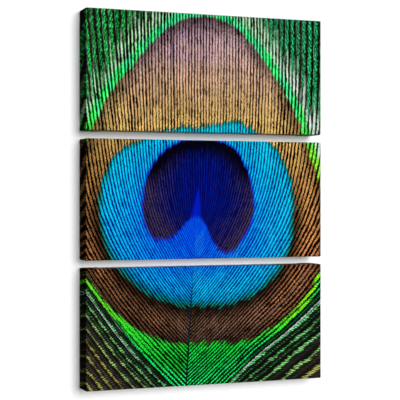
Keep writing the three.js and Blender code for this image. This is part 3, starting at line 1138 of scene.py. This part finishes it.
class CANVAS_OT_bars(bpy.types.Operator):
    """Gives the bars their pine"""

    bl_idname = "canvas_print.bars"
    bl_label = "Bars"

    def execute(self, context):
        wood = context.scene.canvas_print.wood
        finish_nodes(("bar_bottom", "bar_top"), pine("pine_across", wood, False))
        finish_nodes(("bar_left", "bar_right"), pine("pine_upright", wood, True))
        return {"FINISHED"}


class CANVAS_OT_fittings(bpy.types.Operator):
    """Gives the hangers, nails and bumpers their metal and rubber"""

    bl_idname = "canvas_print.fittings"
    bl_label = "Fittings"

    def execute(self, context):
        zinc = steel("zinc_plate", ink(206, 206, 200), ink(176, 178, 182), 0.24, (0.08, 4.0, 4.0))
        finish_nodes(("hanger",), zinc)
        wire = steel("bright_wire", ink(200, 200, 198), ink(164, 164, 166), 0.22, (3.0, 0.3, 3.0))
        finish_nodes(("nail_left", "nail_right"), wire)
        finish_nodes(("bumper_left", "bumper_right"), rubber())
        return {"FINISHED"}


# ---- Staples ----

STAPLE_THICKNESS = 0.55  # of the wire's width
STAPLE_PROUD = 0.45  # how far it stands out of the hem, of the wire's width
STAPLE_BEND = 0.9 * MM
STAPLE_TIP = 0.3  # of the wire's width, where a leg ends
STRAY_SEED = 11


def staple_mesh(size):
    """One staple with its crown along X, its face to +Y and its legs to -Y, flat wire all round."""
    half, turn, thick = size.crown / 2, STAPLE_BEND, size.wire * STAPLE_THICKNESS
    bend = [(turn * math.sin(a), turn * (1 - math.cos(a))) for a in np.radians((0, 30, 60, 90))]
    right = [(half - turn + dx, -dy) for dx, dy in bend] + [(half, -size.leg)]
    path = [(-x, y) for x, y in right[::-1]] + right
    vertices = []
    for i, (x, y) in enumerate(path):
        (xa, ya), (xb, yb) = path[max(i - 1, 0)], path[min(i + 1, len(path) - 1)]
        reach = math.hypot(xb - xa, yb - ya)
        nx, ny = -(yb - ya) / reach, (xb - xa) / reach
        # The legs end in points.
        narrow = STAPLE_TIP if i in (0, len(path) - 1) else 1.0
        for out, side in ((0, -1), (0, 1), (-1, 1), (-1, -1)):
            z = side * size.wire / 2 * narrow
            vertices.append((x + nx * out * thick, y + ny * out * thick, z))
    faces = []
    for i in range(len(path) - 1):
        for k in range(4):
            a, b = i * 4 + k, i * 4 + (k + 1) % 4
            faces.append((a, b, b + 4, a + 4))
    faces += [(3, 2, 1, 0), tuple(len(vertices) - 4 + k for k in range(4))]
    data = bpy.data.meshes.new("staple")
    data.from_pydata(vertices, [], faces)
    return data


def staple_tree(rows, material):
    """Geometry nodes that lay the object's own mesh along each row, a little askew, by chance."""
    tree = bpy.data.node_groups.new("staple rows", "GeometryNodeTree")
    face = tree.interface
    face.new_socket("Staple", in_out="INPUT", socket_type="NodeSocketGeometry")
    face.new_socket("Stray", in_out="INPUT", socket_type="NodeSocketFloat")
    for name, *_ in rows:
        face.new_socket(f"{name} start", in_out="INPUT", socket_type="NodeSocketVector")
        face.new_socket(f"{name} step", in_out="INPUT", socket_type="NodeSocketVector")
        face.new_socket(f"{name} count", in_out="INPUT", socket_type="NodeSocketInt")
    face.new_socket("Staples", in_out="OUTPUT", socket_type="NodeSocketGeometry")
    given = tree.nodes.new("NodeGroupInput").outputs
    link = tree.links.new
    joined = tree.nodes.new("GeometryNodeJoinGeometry")
    for index, (name, _, _, _, turned) in enumerate(rows):
        line = tree.nodes.new("GeometryNodeMeshLine")
        link(given[f"{name} start"], line.inputs["Start Location"])
        link(given[f"{name} step"], line.inputs["Offset"])
        link(given[f"{name} count"], line.inputs["Count"])
        askew = tree.nodes.new("FunctionNodeRandomValue")
        askew.inputs["Seed"].default_value = STRAY_SEED + index
        away = tree.nodes.new("ShaderNodeMath")
        away.operation = "MULTIPLY"
        away.inputs[1].default_value = -1.0
        link(given["Stray"], away.inputs[0])
        link(away.outputs[0], askew.inputs[2])
        link(given["Stray"], askew.inputs[3])
        total = tree.nodes.new("ShaderNodeMath")
        total.inputs[1].default_value = math.pi / 2 if turned else 0.0
        link(askew.outputs[1], total.inputs[0])
        turn = tree.nodes.new("ShaderNodeCombineXYZ")
        link(total.outputs[0], turn.inputs["Y"])
        laid = tree.nodes.new("GeometryNodeInstanceOnPoints")
        link(line.outputs[0], laid.inputs["Points"])
        link(given["Staple"], laid.inputs["Instance"])
        link(turn.outputs[0], laid.inputs["Rotation"])
        link(laid.outputs[0], joined.inputs[0])
    real = tree.nodes.new("GeometryNodeRealizeInstances")
    link(joined.outputs[0], real.inputs[0])
    metal = tree.nodes.new("GeometryNodeSetMaterial")
    metal.inputs["Material"].default_value = material
    link(real.outputs[0], metal.inputs["Geometry"])
    link(metal.outputs[0], tree.nodes.new("NodeGroupOutput").inputs[0])
    return tree


def staple_rows(low, high, size):
    """Name, start, step, count and whether upright, for the four rows of one panel."""
    rows = []
    back = high[1] + size.wire * STAPLE_PROUD
    for name, axis, other, edge, sign in (
        ("bottom", 0, 2, low, 1),
        ("top", 0, 2, high, -1),
        ("left", 2, 0, low, 1),
        ("right", 2, 0, high, -1),
    ):
        corner = size.inset + size.crown * 1.4
        reach = high[axis] - low[axis] - 2 * corner
        count = int(round(reach / size.pitch)) + 1
        start, step = [0.0, back, 0.0], [0.0, 0.0, 0.0]
        start[axis] = low[axis] + corner
        start[other] = edge[other] + sign * size.inset
        step[axis] = reach / (count - 1)
        rows.append((name, start, step, count, axis == 2))
    return rows


class CANVAS_OT_staples(bpy.types.Operator):
    """Staples each canvas's hem to the back of its bars"""

    bl_idname = "canvas_print.staples"
    bl_label = "Staples"

    def execute(self, context):
        size = context.scene.canvas_print.staples
        metal = steel("staple_wire", ink(206, 206, 204), ink(170, 170, 172), 0.2, (0.3, 3.0, 3.0))
        for panel, (low, high) in zip(PANELS, CANVAS_BOXES):
            rows = staple_rows(low, high, size)
            tree = staple_tree(rows, metal)
            made = bpy.data.objects.new(f"{panel}_staples", staple_mesh(size))
            context.scene.collection.objects.link(made)
            modifier = made.modifiers.new("rows", "NODES")
            modifier.node_group = tree
            keys = {item.name: item.identifier for item in tree.interface.items_tree}
            modifier[keys["Stray"]] = size.stray
            for name, start, step, count, _ in rows:
                modifier[keys[f"{name} start"]] = start
                modifier[keys[f"{name} step"]] = step
                modifier[keys[f"{name} count"]] = count
            plain(made)
            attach(made, "root")
        return {"FINISHED"}


# ---- Stage ----

STAGE_HALF = 3.0  # half the width of the wall and of the floor
WALL_GAP = 1.2 * MM  # behind the plane that the bumpers touch
FLOOR_DROP = 1.0  # the set hangs this far above the floor
VIEW_TURN = math.radians(21.15)  # the camera stands to the left of straight ahead
VIEW_DISTANCE = 1948.8 * MM
VIEW_AIM = (-13.65 * MM, -0.82 * MM)  # from the middle of the set, on its front
LENS = 109.07  # millimetres, as is the sensor's width
SENSOR_WIDTH = 36.0
BACK_SOFTNESS = 15.0  # the rear light's width in degrees
BACK_TOWARDS = (-0.35, -1.0, 0.0)


class CANVAS_OT_stage(bpy.types.Operator):
    """Sets up the wall, the floor, the lights and the camera"""

    bl_idname = "canvas_print.stage"
    bl_label = "Stage"

    def execute(self, context):
        stage = context.scene.canvas_print.stage
        context.scene.view_settings.view_transform = "Standard"
        world = bpy.data.worlds.new("white")
        context.scene.world = world
        world.use_nodes = True
        backdrop = world.node_tree.nodes["Background"]
        backdrop.inputs["Color"].default_value = (1, 1, 1, 1)
        seen = Wire(world.node_tree.nodes.new("ShaderNodeLightPath").outputs["Is Camera Ray"])
        feed(backdrop.inputs["Strength"], between(world.node_tree, stage.sky, 1.0, seen))
        make_wall()
        make_floor()
        make_camera()
        right, up = (math.tan(math.radians(turn)) for turn in (stage.key_side, stage.key_rise))
        make_sun("key", stage.key_strength, stage.key_softness, (-right, 1.0, -up))
        make_sun("behind", stage.back_strength, BACK_SOFTNESS, BACK_TOWARDS)
        return {"FINISHED"}


def flat_square(name, corners, material):
    """A large plain square that stands in for a wall or a floor and throws no light back."""
    data = bpy.data.meshes.new(name)
    data.from_pydata(corners, [], [(0, 1, 2, 3)])
    data.materials.append(material)
    square = bpy.data.objects.new(name, data)
    bpy.context.scene.collection.objects.link(square)
    square.visible_diffuse = square.visible_glossy = square.visible_shadow = False
    square.visible_transmission = False


def make_wall():
    """A white wall, which nothing shows of from behind."""
    made, tree, shader = blank_material("wall_paint")
    shader.inputs["Base Color"].default_value = (0.78, 0.78, 0.78, 1)
    shader.inputs["Roughness"].default_value = 1.0
    shader.inputs["Specular IOR Level"].default_value = 0.0
    shader.inputs["Emission Color"].default_value = (1, 1, 1, 1)
    shader.inputs["Emission Strength"].default_value = 0.12
    clear = tree.nodes.new("ShaderNodeBsdfTransparent")
    behind = Wire(tree.nodes.new("ShaderNodeNewGeometry").outputs["Backfacing"])
    choice = tree.nodes.new("ShaderNodeMixShader")
    feed(choice.inputs[0], behind)
    feed(choice.inputs[1], Wire(shader.outputs[0]))
    feed(choice.inputs[2], Wire(clear.outputs[0]))
    feed(tree.nodes["Material Output"].inputs["Surface"], Wire(choice.outputs[0]))
    s, y = STAGE_HALF, WALL_GAP
    flat_square("wall", [(-s, y, -s), (s, y, -s), (s, y, s), (-s, y, s)], made)


def make_floor():
    """A plain pale floor below the set."""
    made, _, shader = blank_material("floor_paint")
    shader.inputs["Base Color"].default_value = (0.8, 0.8, 0.8, 1)
    shader.inputs["Roughness"].default_value = 0.9
    shader.inputs["Emission Color"].default_value = (1, 1, 1, 1)
    shader.inputs["Emission Strength"].default_value = 0.7
    s, z = STAGE_HALF, CAD_BOX[0][2] - FLOOR_DROP
    flat_square("floor", [(-s, -s, z), (s, -s, z), (s, s, z), (-s, s, z)], made)


def make_camera():
    """The camera, to the left of the set and level with its middle."""
    data = bpy.data.cameras.new("camera")
    data.lens = LENS
    data.sensor_width = SENSOR_WIDTH
    camera = bpy.data.objects.new("camera", data)
    bpy.context.scene.collection.objects.link(camera)
    low, high = CAD_BOX
    aim = ((low[0] + high[0]) / 2 + VIEW_AIM[0], low[1], (low[2] + high[2]) / 2 + VIEW_AIM[1])
    camera.location = (
        aim[0] - math.sin(VIEW_TURN) * VIEW_DISTANCE,
        aim[1] - math.cos(VIEW_TURN) * VIEW_DISTANCE,
        aim[2],
    )
    camera.rotation_euler = (math.pi / 2, 0, -VIEW_TURN)
    bpy.context.scene.camera = camera


def make_sun(name, strength, angle, towards):
    """A sun that shines towards a direction, its shadows' edges as soft as its angle is wide."""
    data = bpy.data.lights.new(name, "SUN")
    data.energy = strength
    data.angle = math.radians(angle)
    sun = bpy.data.objects.new(name, data)
    sun.rotation_euler = Vector(towards).to_track_quat("-Z", "Y").to_euler()
    bpy.context.scene.collection.objects.link(sun)


# ---- Sidebar ----


class CANVAS_PT_panel(bpy.types.Panel):
    """Lists what the set is made of"""

    bl_label = "Canvas print"
    bl_space_type = "VIEW_3D"
    bl_region_type = "UI"
    bl_category = "Canvas print"

    def draw(self, context):
        for operator in OPERATORS:
            self.layout.operator(operator.bl_idname)


OPERATORS = (
    CANVAS_OT_stage,
    CANVAS_OT_wrap,
    CANVAS_OT_staples,
    CANVAS_OT_bars,
    CANVAS_OT_fittings,
)
SETTINGS = (ClothSettings, StapleSettings, WoodSettings, StageSettings, PrintSettings)
CLASSES = (*SETTINGS, *OPERATORS, CANVAS_PT_panel)


def register():
    for item in CLASSES:
        bpy.utils.register_class(item)
    bpy.types.Scene.canvas_print = PointerProperty(type=PrintSettings)


def unregister():
    del bpy.types.Scene.canvas_print
    for item in reversed(CLASSES):
        bpy.utils.unregister_class(item)


def main():
    """Makes the whole set."""
    register()
    bpy.ops.canvas_print.stage()
    bpy.ops.canvas_print.wrap()
    bpy.ops.canvas_print.staples()
    bpy.ops.canvas_print.bars()
    bpy.ops.canvas_print.fittings()


if __name__ == "__main__":
    main()
